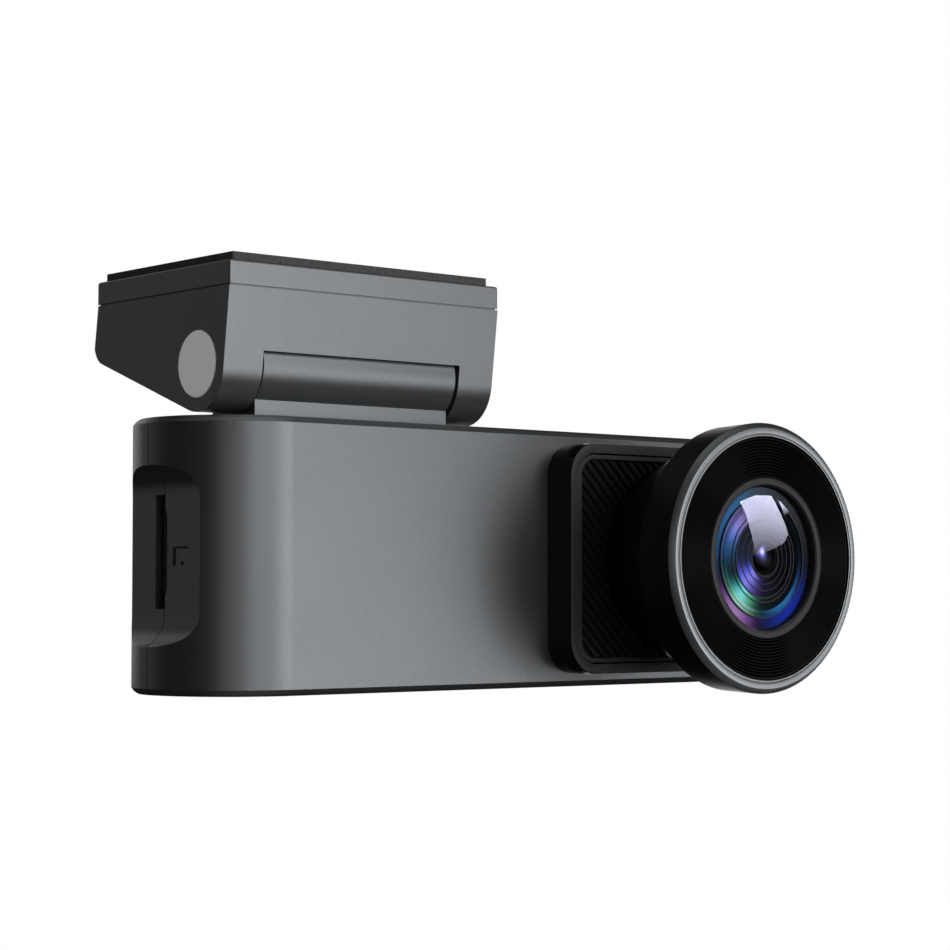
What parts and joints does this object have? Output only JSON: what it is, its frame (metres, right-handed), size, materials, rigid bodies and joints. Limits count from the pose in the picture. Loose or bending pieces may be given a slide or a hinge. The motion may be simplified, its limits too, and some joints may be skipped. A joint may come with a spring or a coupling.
{
  "type": "dash camera",
  "caption": "Windscreen dash camera: pill-shaped body with a hooded wide-angle lens, hanging from a stick-on bracket by a tilting hinge.",
  "frame": {"origin": "centre of the adhesive pad's top face, which sticks to the windscreen", "axes": "+Z out of the pad's face towards the glass, +X along the camera body, and the lens looks along -Y"},
  "size_m": [0.0957, 0.0485, 0.0485],
  "materials": {
    "case_grey": "satin metallic paint on moulded PC/ABS",
    "foam_tape": "matt acrylic foam",
    "trim_black": "semi-gloss moulded",
    "hood_black": "satin black anodised look",
    "cap_grey": "fine matt moulded",
    "steel": "zinc-plated or stainless",
    "lens_glass": "polished, multi-layer anti-reflection coating",
    "circuit_board": "solder-masked glass epoxy",
    "chip_black": "moulded epoxy",
    "aluminium": "rolled sheet",
    "polyimide": "copper-clad film",
    "clear_plastic": "clear moulded acrylic",
    "thermal_foam": "matt silicone"
  },
  "bodies": {
    "bracket": {"adhesive_pad": "foam_tape", "base_plate": "case_grey", "base_screw_1": "steel", "base_screw_2": "steel", "base_screw_3": "steel", "base_screw_4": "steel", "friction_washer_left": "steel", "friction_washer_right": "steel", "hinge_housing": "case_grey", "hinge_pin": "steel", "pin_cap_left": "cap_grey", "pin_cap_right": "cap_grey"},
    "camera": {"aperture_stop": "hood_black", "baffle_ring": "trim_black", "card_socket": "steel", "front_lens": "lens_glass", "front_shell": "case_grey", "heat_sink": "aluminium", "hinge_knuckle": "case_grey", "image_sensor": "chip_black", "ir_filter": "lens_glass", "knuckle_screw_1": "steel", "knuckle_screw_2": "steel", "lens_barrel": "trim_black", "lens_collar": "trim_black", "lens_holder": "trim_black", "lens_hood": "hood_black", "lens_retainer": "hood_black", "lens_tube": "hood_black", "light_pipe": "clear_plastic", "main_board": "circuit_board", "microphone": "steel", "middle_lens": "lens_glass", "processor": "chip_black", "rear_lens": "lens_glass", "rear_shell": "case_grey", "rib_panel": "trim_black", "sensor_board": "circuit_board", "sensor_cable": "polyimide", "shell_screw_1": "steel", "shell_screw_2": "steel", "shell_screw_3": "steel", "shell_screw_4": "steel", "speaker": "hood_black", "status_led": "clear_plastic", "supercapacitor_1": "aluminium", "supercapacitor_2": "aluminium", "tact_switch": "chip_black", "thermal_pad": "thermal_foam", "usb_socket": "steel", "wifi_antenna": "clear_plastic"},
    "memory_card": {"memory_card": "chip_black"},
    "power_button": {"power_button": "case_grey"}
  },
  "joints": [
    {"name": "camera_tilt", "type": "hinge", "parent": "bracket", "child": "camera", "pos_m": [0, -0.00744, -0.01188], "axis": [1, 0, 0], "range_deg": [-65, 18]},
    {"name": "card_slide", "type": "slide", "parent": "camera", "child": "memory_card", "axis": [-1, 0, 0], "range_m": [-0.0006, 0.016]},
    {"name": "button_press", "type": "slide", "parent": "camera", "child": "power_button", "axis": [0, -1, 0], "range_m": [0, 0.0004], "stiffness_N_per_m": 500}
  ]
}
